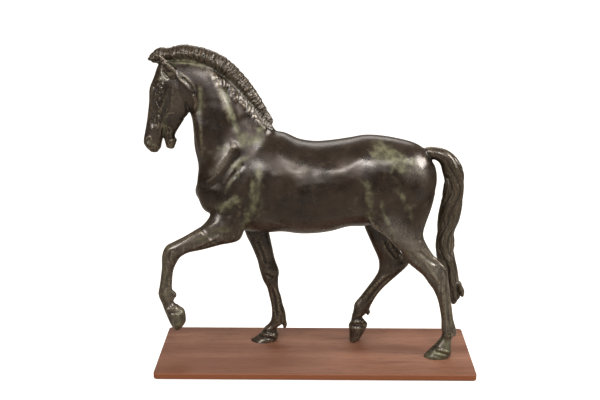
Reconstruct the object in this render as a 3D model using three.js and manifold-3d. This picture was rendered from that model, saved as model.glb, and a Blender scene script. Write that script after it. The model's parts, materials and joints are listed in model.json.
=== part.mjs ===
// A walking horse in patinated bronze on a thin mahogany plate.
// The bronze is cast in eight sections: a hollow barrel, a hollow neck with the head and mane, four legs
// and the tail. Each section has a spigot that enters a socket in the barrel, and a dowel pin crosses the
// joint. The three standing hooves hold threaded studs, which pass through the plate to washers and nuts
// in counterbores underneath. Four rubber bumpers carry the plate.
// Millimetres, +Z up. The horse faces -X and its near (left) side faces -Y.
import * as THREE from 'three';
import Module from 'manifold-3d';
import { mergeVertices } from 'three/addons/utils/BufferGeometryUtils.js';

const wasm = await Module();
wasm.setup();

// ---------------------------------------------------------------- driving dimensions

const FIT_GAP = 0.3;               // between faces that touch
const SEAM = 0.15;                 // each section stops this far from its cut plane
const SOCKET_GAP = 0.4;            // radial, spigot in socket

const BUMPER = { diameter: 12, height: 1.2, inset: 16 };
const PLATE = { length: 386, width: 144, thickness: 8, corner: 4, edge: 1.2, y: 3.5 };
const PLATE_BOTTOM = BUMPER.height + FIT_GAP;
const PLATE_TOP = PLATE_BOTTOM + PLATE.thickness;
const SOLE = PLATE_TOP + FIT_GAP;

const STUD = { diameter: 4, bottom: 2, top: 18.5, plateHole: 5, hoofHole: 4.6 };
const NUT = { acrossFlats: 7, height: 3, bottom: 1.9 };
const WASHER = { diameter: 9, height: 0.8, hole: 5 };
const COUNTERBORE = { diameter: 13, top: 6.3 };

const HORSE_Y = 10;                // the horse's middle plane; the plate's middle is at PLATE.y
const WALL = 5;                    // bronze wall of the hollow sections
const SPIGOT = { diameter: 10, length: 12 };
const PIN = { diameter: 3, hole: 3.6 };
const CORE_HOLE = { diameter: 8, x: -10, depth: 5, recess: 2 };

// Where the cast sections meet: a point on the cut and the direction from the barrel into the section.
const CUTS = {
  neck: { at: [-97, HORSE_Y, 270.5], into: [-0.49, 0, 0.872] },
  nearFore: { at: [-119, -16, 169], into: [-0.912, 0, -0.41] },
  offFore: { at: [-73, 34, 158], into: [0, 0, -1] },
  nearHind: { at: [111, -17, 158], into: [0, 0, -1] },
  offHind: { at: [88, 37, 158], into: [0, 0, -1] },
  tail: { at: [139, 12, 261], into: [0.97, 0, 0.24] },
};

// ---------------------------------------------------------------- the horse's form
// Each limb is a row of elliptical sections. A section is two outline points in the side view (x, z and
// x, z), the middle of the section across the horse (y) and half its width there.

const BARREL = [
  [-141.8, 223, -142, 207, 10, 12],
  [-138, 238, -134, 190, 10, 22],
  [-120, 246, -120, 184, 10, 29],
  [-100, 262, -100, 172, 10, 35],
  [-80, 275, -80, 164, 10, 38],
  [-60, 285, -60, 162.5, 10, 41],
  [-40, 287, -40, 164.1, 10, 44],
  [-20, 278.5, -20, 162, 10, 46.5],
  [0, 275.5, 0, 162.5, 10, 48],
  [20, 277, 20, 165.4, 10, 47.5],
  [40, 280, 40, 171, 10, 45.5],
  [60, 283.5, 60, 171.5, 10, 42],
  [80, 282.5, 80, 175, 10, 39.5],
  [100, 279, 100, 178, 10, 38.5],
  [118, 274, 118, 190, 10, 35.5],
  [130, 266.5, 130, 200, 10, 29.5],
  [139, 252, 139, 211, 10, 19],
];

const NECK = [
  [-136, 202, -34, 268, 10, 29],
  [-142.8, 222, -42, 280, 10, 30],
  [-140.6, 245, -51, 295, 10, 27],
  [-144.5, 268, -62, 311.5, 10, 23],
  [-145.3, 287, -76, 329, 10, 20],
  [-146.5, 301.5, -90, 345, 10, 17.5],
  [-149, 311, -107, 360, 10, 16.5],
  [-153, 318, -127, 370, 10, 16],
  [-159, 326, -151, 374, 10, 14.5],
  [-168, 334, -172, 372, 10, 13],
];

const HEAD = [
  [-181, 373, -152, 356, 10, 11],
  [-186, 364, -151, 346, 10, 13],
  [-190, 353, -149, 334, 10, 14.5],
  [-195.8, 339, -148.5, 320, 10, 13.5],
  [-197, 322.5, -150.5, 309.5, 10, 12],
  [-199.5, 306, -161, 299, 10, 9.5],
  [-202.5, 291, -178, 288, 10, 8.5],
  [-205.5, 276, -183.5, 274, 10, 8.5],
  [-203.5, 269.5, -184.8, 268, 10, 7.5],
  [-198.5, 264, -188, 264, 10, 5.5],
];

const LOWER_JAW = [
  [-186, 306, -156, 302, 10, 9],
  [-183, 291, -166, 286.5, 10, 7],
  [-181.5, 281, -167.5, 280.5, 10, 5.5],
  [-180, 275, -165.5, 277, 10, 6],
  [-178.8, 269.5, -169, 267.5, 10, 5],
];

const MANE = [
  [-49.9, 300.5, -56, 291, 10, 3.5],
  [-57, 313, -66, 303, 10, 5],
  [-65.2, 328.4, -77, 316, 10, 6.5],
  [-76.6, 345.8, -91, 331, 10, 7.5],
  [-89.7, 361.2, -103, 344, 10, 8],
  [-106.7, 376.4, -117, 355, 10, 8.5],
  [-130, 386.4, -132, 364, 10, 9],
  [-154, 390.5, -151, 369, 10, 9],
  [-172.2, 386.7, -167, 369, 10, 8],
  [-182.9, 387, -181, 368, 10, 7],
  [-192.6, 379.8, -188, 369.2, 10, 5],
];

const EAR = [                       // the near ear; the off one is its mirror image
  [-172, 352, -160, 354, 1, 4.5],
  [-176.5, 360, -162.5, 362, -1, 4.5],
  [-178.5, 368, -168.5, 370, -3, 3.5],
  [-180, 375, -174.5, 376, -4, 2.2],
  [-181, 380, -179, 380.5, -4, 1],
];

const NEAR_FORELEG = [
  [-122, 196, -84, 173, -12, 15],
  [-129, 185.5, -91.5, 159.3, -15, 14.5],
  [-138, 175.5, -114.5, 153.5, -15, 12.5],
  [-153.5, 165.5, -134.5, 147.5, -14, 10.5],
  [-170, 157, -152, 143.5, -14, 8.5],
  [-180, 151, -162, 138, -14, 9],
  [-185, 139.5, -166.5, 132, -14, 8.5],
  [-186, 125, -171, 123, -13, 6.5],
  [-187, 117, -173, 115, -13, 5.5],
  [-188.5, 107, -174, 105, -13, 5.5],
  [-190, 98.5, -174.5, 98.5, -13, 6.3],
  [-191.5, 91, -173.5, 92, -13, 7.5],
  [-190.5, 84.5, -171.8, 84.5, -13, 6.8],
  [-187.8, 78, -173.2, 80, -13, 6.3],
  [-185.3, 70, -169.5, 75, -13, 8],
  [-182.6, 62.6, -161, 69.5, -13, 10],
  [-180.1, 56, -158.9, 60.8, -13, 11],
  [-177.2, 49.6, -159.4, 52.8, -13, 10.5],
  [-173, 43.3, -164.4, 45.6, -13, 7],
];

const OFF_FORELEG = [
  [-94, 182, -54, 182, 31, 15],
  [-88, 155, -58, 156.5, 34, 13],
  [-81, 139.5, -54.5, 139.5, 34, 11],
  [-73.2, 119.5, -50.6, 119.5, 34, 9],
  [-70, 105.5, -45.5, 103.5, 34, 9.5],
  [-66, 91.5, -46.5, 92.5, 34, 7.5],
  [-61, 81.5, -46, 79.5, 34, 6],
  [-58.5, 71, -43, 69, 34, 5.5],
  [-56, 59, -41, 59, 34, 5.5],
  [-55, 49, -38, 49, 34, 6.5],
  [-55.5, 41, -37, 41, 34, 7.5],
  [-57, 35.5, -37, 35, 34, 7.5],
  [-60, 31, -43.5, 30.5, 34, 7],
  [-64.5, 27, -49, 26, 34, 7.3],
  [-67, 22.5, -47.5, 20.5, 34, 8.5],
  [-70.5, 18, -46.5, 16, 34, 10.3],
  [-76, 13.5, -48, 12, 34, 11.3],
  [-81.5, 9, -50.5, 8.5, 34, 12],
  [-82, 5, -51, 5, 34, 12],
];

const NEAR_HINDLEG = [
  [62, 228, 145.3, 230, 1, 12],
  [60, 206, 143.5, 214.5, -5, 14],
  [62, 190, 138.8, 198.6, -11, 17],
  [67, 178, 130.3, 174, -16, 16],
  [84, 166.5, 130.6, 162, -17, 14.5],
  [100, 150, 135, 153.2, -16, 12.5],
  [112, 132, 142, 142, -14, 10.5],
  [121, 123.5, 150, 132.5, -13, 9],
  [131, 114.5, 159, 123, -12, 8.5],
  [138.5, 104, 162, 109, -12, 8.5],
  [144.5, 95.5, 164, 96, -12, 7.5],
  [150, 82.5, 166, 82.5, -12, 6.3],
  [153, 70, 168, 70.5, -12, 5.8],
  [155, 58, 170, 57.5, -12, 5.8],
  [155.5, 47, 173, 47, -12, 7.2],
  [156.5, 40, 172.5, 39, -13, 7.8],
  [155, 34, 169, 33.5, -13, 7.3],
  [151, 28.5, 168, 27, -14, 7.8],
  [146, 23, 168.5, 19.5, -14, 9.8],
  [140.5, 17, 168.5, 13.5, -14, 11],
  [135.5, 11, 167, 9, -14, 11.8],
  [135, 5, 166, 5, -14, 11.8],
];

const OFF_HINDLEG = [
  [60, 196, 126, 204, 29, 16],
  [62, 176, 118, 180, 35, 16],
  [60.5, 163, 110.5, 163, 36, 14.5],
  [71.5, 138, 105.5, 133.5, 35, 11.5],
  [79.5, 119, 115, 121, 35, 9.5],
  [80, 105.5, 117, 112.2, 34, 9],
  [75, 94.5, 90.5, 86, 34, 7.5],
  [66, 81.5, 80, 73.5, 34, 6],
  [57.5, 69.5, 72.5, 60.5, 34, 6],
  [50.5, 60, 69, 52, 34, 7],
  [49, 51, 65, 46.5, 34, 7.2],
  [47, 43, 60.5, 42, 34, 7],
  [46, 36.5, 63.5, 37, 34, 8.5],
  [43, 30.5, 67.3, 32, 34, 10.3],
  [44, 23.5, 64.5, 25, 34, 10.8],
  [44, 14, 59.5, 15.5, 34, 10.5],
  [45, 8.5, 53, 8.5, 34, 8],
];

const TAIL = [
  [124, 264, 128, 250, 10, 7],
  [133, 268.5, 134, 252, 11, 7.5],
  [144, 268.5, 143, 253, 12, 7.5],
  [159.5, 264, 150, 247.5, 12, 8.5],
  [172, 251.5, 153.5, 238, 12, 9.5],
  [178.5, 234, 156, 228, 12, 10],
  [178.7, 214, 154.4, 211, 12, 10.5],
  [177.7, 196, 152.8, 198.5, 12, 11],
  [174.8, 178.5, 150.2, 180.5, 12, 11],
  [169.6, 163.5, 149.6, 163.5, 12, 10],
  [170.5, 148.5, 148.5, 148.5, 12, 10],
  [170.6, 133.5, 149.4, 133.5, 12, 9.5],
  [174.2, 118.5, 154, 120.5, 12, 9],
  [177.2, 103, 159, 103, 12, 8],
  [178.4, 91, 164, 88, 12, 7],
  [180.8, 80, 169, 73, 12, 5],
];
const TAIL_STRANDS = 5;

// Ellipsoids that swell the barrel: centre x, z, distance from the mid-plane, radii x, y, z.
const HAUNCH = [92, 222, 19, 45, 25, 50];
const SHOULDER = [-100, 226, 17, 34, 21, 46];

// ---------------------------------------------------------------- solids

// A closed triangle mesh as a manifold-3d solid, turned the right way out.
function solidOf(positions, triangles) {
  let volume = 0;
  const a = new THREE.Vector3();
  const b = new THREE.Vector3();
  const c = new THREE.Vector3();
  for (let i = 0; i < triangles.length; i += 3) {
    a.fromArray(positions, triangles[i] * 3);
    b.fromArray(positions, triangles[i + 1] * 3);
    c.fromArray(positions, triangles[i + 2] * 3);
    volume += a.dot(b.cross(c)) / 6;
  }
  const triVerts = new Uint32Array(triangles);
  if (volume < 0) triVerts.reverse();
  return new wasm.Manifold(new wasm.Mesh({
    numProp: 3,
    vertProperties: new Float32Array(positions),
    triVerts,
  }));
}

// A three.js geometry as a manifold-3d solid.
function solidFrom(geometry) {
  const bare = geometry.clone();
  bare.deleteAttribute('normal');
  bare.deleteAttribute('uv');
  const merged = mergeVertices(bare, 1e-4);
  return solidOf(Array.from(merged.getAttribute('position').array), Array.from(merged.index.array));
}

// A manifold-3d solid back as a three.js geometry.
function geometryFrom(solid) {
  const mesh = solid.getMesh();
  const geometry = new THREE.BufferGeometry();
  const positions = new Float32Array(mesh.numVert * 3);
  for (let i = 0; i < mesh.numVert; i += 1) {
    for (let k = 0; k < 3; k += 1) positions[i * 3 + k] = mesh.vertProperties[i * mesh.numProp + k];
  }
  geometry.setAttribute('position', new THREE.BufferAttribute(positions, 3));
  geometry.setIndex(new THREE.BufferAttribute(new Uint32Array(mesh.triVerts), 1));
  geometry.computeVertexNormals();
  return geometry;
}

// A limb: a smooth skin over its elliptical sections. grow moves the skin out, or in when negative.
// ribs adds that many shallow lobes, which wind once round the limb.
function limb(sections, { sides = 12, steps = 1, grow = 0, caps = [0.3, 0.3], ribs = 0 } = {}) {
  const first = new THREE.CatmullRomCurve3(sections.map((s) => new THREE.Vector3(s[0], s[4], s[1])));
  const second = new THREE.CatmullRomCurve3(sections.map((s) => new THREE.Vector3(s[2], s[4], s[3])));
  const width = new THREE.CatmullRomCurve3(sections.map((s, i) => new THREE.Vector3(i * 20, s[5], 0)));
  const count = (sections.length - 1) * steps;
  const rings = [];
  for (let k = 0; k <= count; k += 1) {
    const p = first.getPoint(k / count);
    const q = second.getPoint(k / count);
    const centre = p.clone().add(q).multiplyScalar(0.5);
    const across = p.sub(q).multiplyScalar(0.5);
    across.setLength(Math.max(across.length() + grow, 0.5));
    rings.push({ centre, across, half: Math.max(width.getPoint(k / count).y + grow, 0.5), turn: k / count });
  }
  const domed = [...domeRings(rings[0], rings[1], caps[0]).reverse(), ...rings,
    ...domeRings(rings[count], rings[count - 1], caps[1])];
  const positions = [];
  for (const { centre, across, half, turn } of domed) {
    for (let i = 0; i < sides; i += 1) {
      const angle = (i / sides) * 2 * Math.PI;
      const lobe = ribs ? 1 + 0.07 * Math.cos(ribs * angle + turn * 2 * Math.PI) : 1;
      const point = centre.clone().addScaledVector(across, Math.cos(angle) * lobe);
      point.y += half * Math.sin(angle) * lobe;
      positions.push(point.x, point.y, point.z);
    }
  }
  const triangles = [];
  for (let k = 0; k + 1 < domed.length; k += 1) {
    for (let i = 0; i < sides; i += 1) {
      const j = (i + 1) % sides;
      const low = k * sides;
      const high = low + sides;
      triangles.push(low + i, high + i, high + j, low + i, high + j, low + j);
    }
  }
  const last = (domed.length - 1) * sides;
  for (let i = 1; i + 1 < sides; i += 1) {
    triangles.push(0, i, i + 1);
    triangles.push(last, last + i + 1, last + i);
  }
  return solidOf(positions, triangles);
}

// Two shrinking rings that round off the end of a limb.
function domeRings(end, inner, height) {
  const outward = end.centre.clone().sub(inner.centre).normalize();
  const reach = height * Math.min(end.across.length(), end.half);
  return [40, 75].map((degrees) => {
    const angle = THREE.MathUtils.degToRad(degrees);
    return {
      centre: end.centre.clone().addScaledVector(outward, reach * Math.sin(angle)),
      across: end.across.clone().multiplyScalar(Math.cos(angle)),
      half: end.half * Math.cos(angle),
      turn: end.turn,
    };
  });
}

function mirrored(sections) {
  return sections.map((s) => [s[0], s[1], s[2], s[3], 2 * HORSE_Y - s[4], s[5]]);
}

function ellipsoid([x, z, offset, rx, ry, rz], side) {
  const ball = new THREE.SphereGeometry(1, 14, 8);
  ball.scale(rx, ry, rz);
  ball.translate(x, HORSE_Y + side * offset, z);
  return solidFrom(ball);
}

// A round bar from one point towards another, both as [x, y, z].
function bar(from, towards, length, diameter, sides = 16) {
  const start = new THREE.Vector3(...from);
  const direction = new THREE.Vector3(...towards).normalize();
  const cylinder = new THREE.CylinderGeometry(diameter / 2, diameter / 2, length, sides);
  cylinder.translate(0, length / 2, 0);
  cylinder.applyQuaternion(new THREE.Quaternion().setFromUnitVectors(new THREE.Vector3(0, 1, 0), direction));
  cylinder.translate(start.x, start.y, start.z);
  return solidFrom(cylinder);
}

// A block past a cut: its face lies on the cut, moved by offset along the cut's direction.
function block(cut, offset, size, depth = size) {
  const direction = new THREE.Vector3(...cut.into).normalize();
  const box = new THREE.BoxGeometry(size, size, depth);
  box.translate(0, 0, depth / 2);
  box.applyQuaternion(new THREE.Quaternion().setFromUnitVectors(new THREE.Vector3(0, 0, 1), direction));
  const place = new THREE.Vector3(...cut.at).addScaledVector(direction, offset);
  box.translate(place.x, place.y, place.z);
  return solidFrom(box);
}

function pointAlong(cut, distance) {
  return cut.at.map((value, axis) => value + distance * cut.into[axis]);
}

// ---------------------------------------------------------------- joints between the castings

// A leg or tail section: the limb past its cut, with its spigot and the dowel hole through it.
// root is the limb's upper part, which stays on the barrel, and clear is what the barrel leaves free.
// rootSize is the side of the block before the cut that holds the root and nothing of the rest.
function section(sections, cut, { pinSide, pinReach, rootSize, ...shape }) {
  const whole = limb(sections, shape);
  const spigotStart = pointAlong(cut, 2);
  const backwards = cut.into.map((value) => -value);
  const before = { at: cut.at, into: backwards };
  const spigot = bar(spigotStart, backwards, SPIGOT.length + 2, SPIGOT.diameter);
  const socket = bar(spigotStart, backwards, SPIGOT.length + 2 + FIT_GAP,
    SPIGOT.diameter + 2 * SOCKET_GAP);
  const pinCentre = pointAlong(cut, -SPIGOT.length / 2);
  const pinStart = [pinCentre[0], pinCentre[1] + pinSide * pinReach, pinCentre[2]];
  const pinLength = pinReach + SPIGOT.diameter / 2 + 2;
  const pinHole = bar([pinStart[0], pinStart[1] + pinSide * 30, pinStart[2]], [0, -pinSide, 0],
    pinLength + 30 + FIT_GAP, PIN.hole);
  return {
    casting: whole.subtract(block(before, -SEAM, rootSize)).add(spigot).subtract(pinHole),
    root: whole.intersect(block(before, 0, rootSize)),
    clear: limb(sections, { ...shape, grow: FIT_GAP }).subtract(block(before, SEAM, rootSize))
      .add(socket).add(pinHole),
    pin: bar(pinStart, [0, -pinSide, 0], pinLength, PIN.diameter),
  };
}

// ---------------------------------------------------------------- the castings

const nearFore = section(NEAR_FORELEG, CUTS.nearFore, { pinSide: -1, pinReach: 9, rootSize: 90 });
const offFore = section(OFF_FORELEG, CUTS.offFore, { pinSide: 1, pinReach: 10, rootSize: 90 });
const nearHind = section(NEAR_HINDLEG, CUTS.nearHind, { pinSide: -1, pinReach: 12, rootSize: 150 });
const offHind = section(OFF_HINDLEG, CUTS.offHind, { pinSide: 1, pinReach: 12, rootSize: 150 });
const tail = section(TAIL, CUTS.tail, {
  pinSide: -1, pinReach: 5.5, rootSize: 40, sides: 20, ribs: TAIL_STRANDS,
});

const STUD_PLACES = {
  off_fore: [-65, 34],
  near_hind: [151, -14],
  off_hind: [50.5, 34],
};

// The hoof of a standing leg: a flat sole on the plate and the hole for its stud.
function standing(leg, place) {
  const floor = block({ at: [place[0], place[1], SOLE], into: [0, 0, -1] }, 0, 120);
  const hole = bar([...place, SOLE - 2], [0, 0, 1], STUD.top + FIT_GAP - SOLE + 2, STUD.hoofHole);
  return leg.subtract(floor).subtract(hole);
}

const neckSkin = limb(NECK, { sides: 18 });
const neckHollow = limb(NECK.slice(0, 8), { grow: -WALL });

function neckPins() {
  const middle = pointAlong(CUTS.neck, -4);
  return [-1, 1].map((side) => {
    const start = [middle[0], HORSE_Y + side * 23.5, middle[2]];
    return {
      hole: bar([start[0], start[1] + side * 30, start[2]], [0, -side, 0], 30 + 14, PIN.hole),
      pin: bar(start, [0, -side, 0], 10, PIN.diameter),
    };
  });
}
const pins = neckPins();

// The neck and head are hollow down to the cut, where a collar enters the barrel's opening.
function neckAndHead() {
  const ear = limb(EAR, { sides: 8 });
  const offEar = limb(mirrored(EAR), { sides: 8 });
  const collarOut = limb(NECK, { grow: -WALL - SOCKET_GAP });
  const collarRoot = limb(NECK, { grow: -WALL + 1 });
  const collarIn = limb(NECK, { grow: -WALL - 3.4 });
  const collar = collarOut.intersect(block(CUTS.neck, -8, 220, 10))
    .add(collarRoot.intersect(block(CUTS.neck, SEAM, 220, 5)))
    .subtract(collarIn.intersect(block(CUTS.neck, -9, 220, 16)));
  return neckSkin
    .add(limb(HEAD, { steps: 2 }))
    .add(limb(LOWER_JAW, { sides: 10 }))
    .add(limb(MANE, { sides: 8, steps: 2, caps: [0.3, 0.8] }))
    .add(ear).add(offEar)
    .intersect(block(CUTS.neck, SEAM, 260))
    .subtract(neckHollow)
    .add(collar)
    .subtract(pins[0].hole).subtract(pins[1].hole);
}

// The barrel is one hollow shell, with the tops of the legs, the foot of the neck and the dock.
function barrel() {
  const coreHole = bar([CORE_HOLE.x, HORSE_Y, BARREL[8][3] - 6], [0, 0, 1], 16, CORE_HOLE.diameter);
  return limb(BARREL, { sides: 22, caps: [0.5, 0.5] })
    .add(neckSkin.subtract(block(CUTS.neck, 0, 260)))
    .add(ellipsoid(HAUNCH, -1)).add(ellipsoid(HAUNCH, 1))
    .add(ellipsoid(SHOULDER, -1)).add(ellipsoid(SHOULDER, 1))
    .add(nearFore.root).add(offFore.root).add(nearHind.root).add(offHind.root).add(tail.root)
    .subtract(block(CUTS.neck, -SEAM, 260))
    .subtract(limb(BARREL.slice(2, 15), { grow: -WALL }))
    .subtract(neckHollow)
    .subtract(nearFore.clear).subtract(offFore.clear)
    .subtract(nearHind.clear).subtract(offHind.clear).subtract(tail.clear)
    .subtract(pins[0].hole).subtract(pins[1].hole)
    .subtract(coreHole);
}

function corePlug() {
  return bar([CORE_HOLE.x, HORSE_Y, BARREL[8][3] + CORE_HOLE.recess], [0, 0, 1], CORE_HOLE.depth,
    CORE_HOLE.diameter - 2 * FIT_GAP);
}

// ---------------------------------------------------------------- the base and its fixings

function plate() {
  const x = PLATE.length / 2 - PLATE.edge;
  const y = PLATE.width / 2 - PLATE.edge;
  const r = PLATE.corner;
  const outline = new THREE.Shape();
  outline.moveTo(-x + r, -y);
  outline.lineTo(x - r, -y);
  outline.absarc(x - r, -y + r, r, -Math.PI / 2, 0);
  outline.lineTo(x, y - r);
  outline.absarc(x - r, y - r, r, 0, Math.PI / 2);
  outline.lineTo(-x + r, y);
  outline.absarc(-x + r, y - r, r, Math.PI / 2, Math.PI);
  outline.lineTo(-x, -y + r);
  outline.absarc(-x + r, -y + r, r, Math.PI, 1.5 * Math.PI);
  const board = new THREE.ExtrudeGeometry(outline, {
    depth: PLATE.thickness - 2 * PLATE.edge,
    bevelThickness: PLATE.edge,
    bevelSize: PLATE.edge,
    bevelSegments: 2,
    curveSegments: 3,
  });
  board.translate(0, PLATE.y, PLATE_BOTTOM + PLATE.edge);
  let solid = solidFrom(board);
  for (const place of Object.values(STUD_PLACES)) {
    solid = solid
      .subtract(bar([...place, PLATE_BOTTOM - 1], [0, 0, 1], PLATE.thickness + 2, STUD.plateHole))
      .subtract(bar([...place, PLATE_BOTTOM - 1], [0, 0, 1], COUNTERBORE.top - PLATE_BOTTOM + 1,
        COUNTERBORE.diameter, 24));
  }
  return geometryFrom(solid);
}

function ring(outer, hole, height, sides) {
  const shape = new THREE.Shape();
  if (sides === 6) {
    const corner = outer / 2 / Math.cos(Math.PI / 6);
    for (let i = 0; i < 6; i += 1) {
      shape.lineTo(corner * Math.cos((i * Math.PI) / 3), corner * Math.sin((i * Math.PI) / 3));
    }
    shape.curves.shift();
  } else {
    shape.absarc(0, 0, outer / 2, 0, 2 * Math.PI);
  }
  const bore = new THREE.Path();
  bore.absarc(0, 0, hole / 2, 0, 2 * Math.PI, true);
  shape.holes.push(bore);
  return new THREE.ExtrudeGeometry(shape, { depth: height, bevelEnabled: false, curveSegments: 10 });
}

// ---------------------------------------------------------------- materials

const bronze = { color: 0x3a322c, roughness: 0.42, metalness: 0.85 };
const bronzePin = { color: 0x57493a, roughness: 0.5, metalness: 0.85 };
const mahogany = { color: 0x8a4a35, roughness: 0.45, metalness: 0 };
const zincedSteel = { color: 0xa9abad, roughness: 0.35, metalness: 0.9 };
const darkRubber = { color: 0x232323, roughness: 0.9, metalness: 0 };

// ---------------------------------------------------------------- the assembly

const statuette = new THREE.Group();

function place(name, geometry, look, position = [0, 0, 0]) {
  const mesh = new THREE.Mesh(geometry, new THREE.MeshStandardMaterial(look));
  mesh.name = name;
  mesh.position.set(...position);
  statuette.add(mesh);
}

place('wood_base', plate(), mahogany);
place('barrel_casting', geometryFrom(barrel()), bronze);
place('neck_and_head_casting', geometryFrom(neckAndHead()), bronze);
place('near_foreleg_casting', geometryFrom(nearFore.casting), bronze);
place('off_foreleg_casting', geometryFrom(standing(offFore.casting, STUD_PLACES.off_fore)), bronze);
place('near_hindleg_casting', geometryFrom(standing(nearHind.casting, STUD_PLACES.near_hind)), bronze);
place('off_hindleg_casting', geometryFrom(standing(offHind.casting, STUD_PLACES.off_hind)), bronze);
place('tail_casting', geometryFrom(tail.casting), bronze);

place('neck_pin_near', geometryFrom(pins[0].pin), bronzePin);
place('neck_pin_off', geometryFrom(pins[1].pin), bronzePin);
place('near_foreleg_pin', geometryFrom(nearFore.pin), bronzePin);
place('off_foreleg_pin', geometryFrom(offFore.pin), bronzePin);
place('near_hindleg_pin', geometryFrom(nearHind.pin), bronzePin);
place('off_hindleg_pin', geometryFrom(offHind.pin), bronzePin);
place('tail_pin', geometryFrom(tail.pin), bronzePin);
place('belly_core_plug', geometryFrom(corePlug()), bronzePin);

const studGeometry = new THREE.CylinderGeometry(STUD.diameter / 2, STUD.diameter / 2,
  STUD.top - STUD.bottom, 16).rotateX(Math.PI / 2);
const washerBottom = NUT.bottom + NUT.height + FIT_GAP;
for (const [leg, [x, y]] of Object.entries(STUD_PLACES)) {
  place(`${leg}_stud`, studGeometry, zincedSteel, [x, y, (STUD.top + STUD.bottom) / 2]);
  place(`${leg}_washer`, ring(WASHER.diameter, WASHER.hole, WASHER.height), zincedSteel,
    [x, y, washerBottom]);
  place(`${leg}_nut`, ring(NUT.acrossFlats, STUD.diameter + 2 * FIT_GAP, NUT.height, 6), zincedSteel,
    [x, y, NUT.bottom]);
}

const bumperGeometry = new THREE.CylinderGeometry(BUMPER.diameter / 2, BUMPER.diameter / 2 - 0.5,
  BUMPER.height, 24).rotateX(Math.PI / 2);
const cornerNames = [['front_left', -1, -1], ['front_right', 1, -1], ['back_left', -1, 1],
  ['back_right', 1, 1]];
for (const [corner, sideX, sideY] of cornerNames) {
  place(`bumper_${corner}`, bumperGeometry, darkRubber, [
    sideX * (PLATE.length / 2 - BUMPER.inset),
    PLATE.y + sideY * (PLATE.width / 2 - BUMPER.inset),
    BUMPER.height / 2,
  ]);
}

// The origin is under the middle of the whole statuette, on the surface it stands on.
const middle = new THREE.Box3().setFromObject(statuette).getCenter(new THREE.Vector3());
const model = new THREE.Group();
statuette.position.set(-middle.x, -middle.y, 0);
model.add(statuette);

export default model;
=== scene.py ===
import math

import bpy
import numpy as np
from mathutils import Matrix, Vector
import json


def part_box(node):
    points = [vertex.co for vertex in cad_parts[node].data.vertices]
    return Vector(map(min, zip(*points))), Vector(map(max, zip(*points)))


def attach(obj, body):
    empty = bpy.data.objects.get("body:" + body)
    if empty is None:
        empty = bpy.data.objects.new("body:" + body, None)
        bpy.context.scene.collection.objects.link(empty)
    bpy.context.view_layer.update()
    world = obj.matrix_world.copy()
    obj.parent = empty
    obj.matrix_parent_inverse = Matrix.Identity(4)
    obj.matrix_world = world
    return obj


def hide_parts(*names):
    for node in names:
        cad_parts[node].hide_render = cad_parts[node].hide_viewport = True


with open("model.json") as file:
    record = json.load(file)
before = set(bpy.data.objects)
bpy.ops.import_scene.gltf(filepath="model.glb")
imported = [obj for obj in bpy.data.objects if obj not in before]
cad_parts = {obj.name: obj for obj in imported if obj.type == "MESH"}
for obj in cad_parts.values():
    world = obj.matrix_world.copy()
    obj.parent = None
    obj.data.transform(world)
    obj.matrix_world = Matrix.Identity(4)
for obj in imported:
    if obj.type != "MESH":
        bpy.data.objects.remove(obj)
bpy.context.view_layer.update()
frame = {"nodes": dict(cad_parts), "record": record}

PLATE_LOW, PLATE_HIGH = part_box("wood_base")
FORM_Y = 0.0035                # the plate's middle lies this far behind y = 0 of the forms, in metres
MIDDLE = np.array([(PLATE_LOW.x + PLATE_HIGH.x) / 2, (PLATE_LOW.y + PLATE_HIGH.y) / 2 - FORM_Y, 0.0])
PLATE_TOP = PLATE_HIGH.z * 1000
SOLE_GAP = 0.05                # between the plate and the soles
MID = 10.0                     # y of the horse's middle plane

FINE_VOXEL = 0.8
SOFT_VOXEL = 2.2
FLANK_ROUNDS = 75     # of evening out the muscles, seen from above


# ---- the forms

# A section is two outline points in the side view (x, z, x, z), its middle in y and half its width.
BARREL = [
    (-141.8, 223, -142, 207, 10, 12), (-138, 238, -134, 190, 10, 22),
    (-120, 246, -120, 184, 10, 29), (-100, 262, -100, 172, 10, 35),
    (-80, 275, -80, 164, 10, 38), (-60, 285, -60, 162.5, 10, 41),
    (-40, 287, -40, 164.1, 10, 44), (-20, 278.5, -20, 162, 10, 46.5),
    (0, 275.5, 0, 162.5, 10, 48), (20, 277, 20, 165.4, 10, 47.5),
    (40, 280, 40, 171, 10, 45.5), (60, 283.5, 60, 171.5, 10, 42),
    (80, 282.5, 80, 175, 10, 39.5), (100, 279, 100, 178, 10, 38.5),
    (118, 274, 118, 190, 10, 35.5), (130, 266.5, 130, 200, 10, 29.5),
    (139, 252, 139, 211, 10, 19),
]
NECK = [
    (-136, 202, -34, 268, 10, 29), (-142.8, 222, -42, 280, 10, 30),
    (-140.6, 245, -51, 295, 10, 27), (-144.5, 268, -62, 311.5, 10, 23),
    (-145.3, 287, -76, 329, 10, 20), (-146.5, 301.5, -90, 345, 10, 17.5),
    (-149, 311, -107, 360, 10, 16.5), (-153, 318, -127, 370, 10, 16),
    (-159, 326, -151, 374, 10, 14.5), (-168, 334, -172, 372, 10, 13),
]
HEAD = [
    (-181, 373, -152, 356, 10, 11), (-186, 364, -151, 346, 10, 13),
    (-190, 353, -149, 334, 10, 14.5), (-195.8, 339, -148.5, 320, 10, 13.5),
    (-197, 322.5, -150.5, 309.5, 10, 12), (-199.5, 306, -161, 299, 10, 9.5),
    (-202.5, 291, -178, 288, 10, 8.5), (-205.5, 276, -183.5, 274, 10, 8.5),
    (-203.5, 269.5, -184.8, 268, 10, 7.5), (-198.5, 264, -188, 264, 10, 5.5),
]
LOWER_JAW = [
    (-186, 306, -156, 302, 10, 9), (-183, 291, -166, 286.5, 10, 7),
    (-181.5, 281, -167.5, 280.5, 10, 5.5), (-180, 275, -165.5, 277, 10, 6),
    (-178.8, 269.5, -169, 267.5, 10, 5),
]
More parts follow.
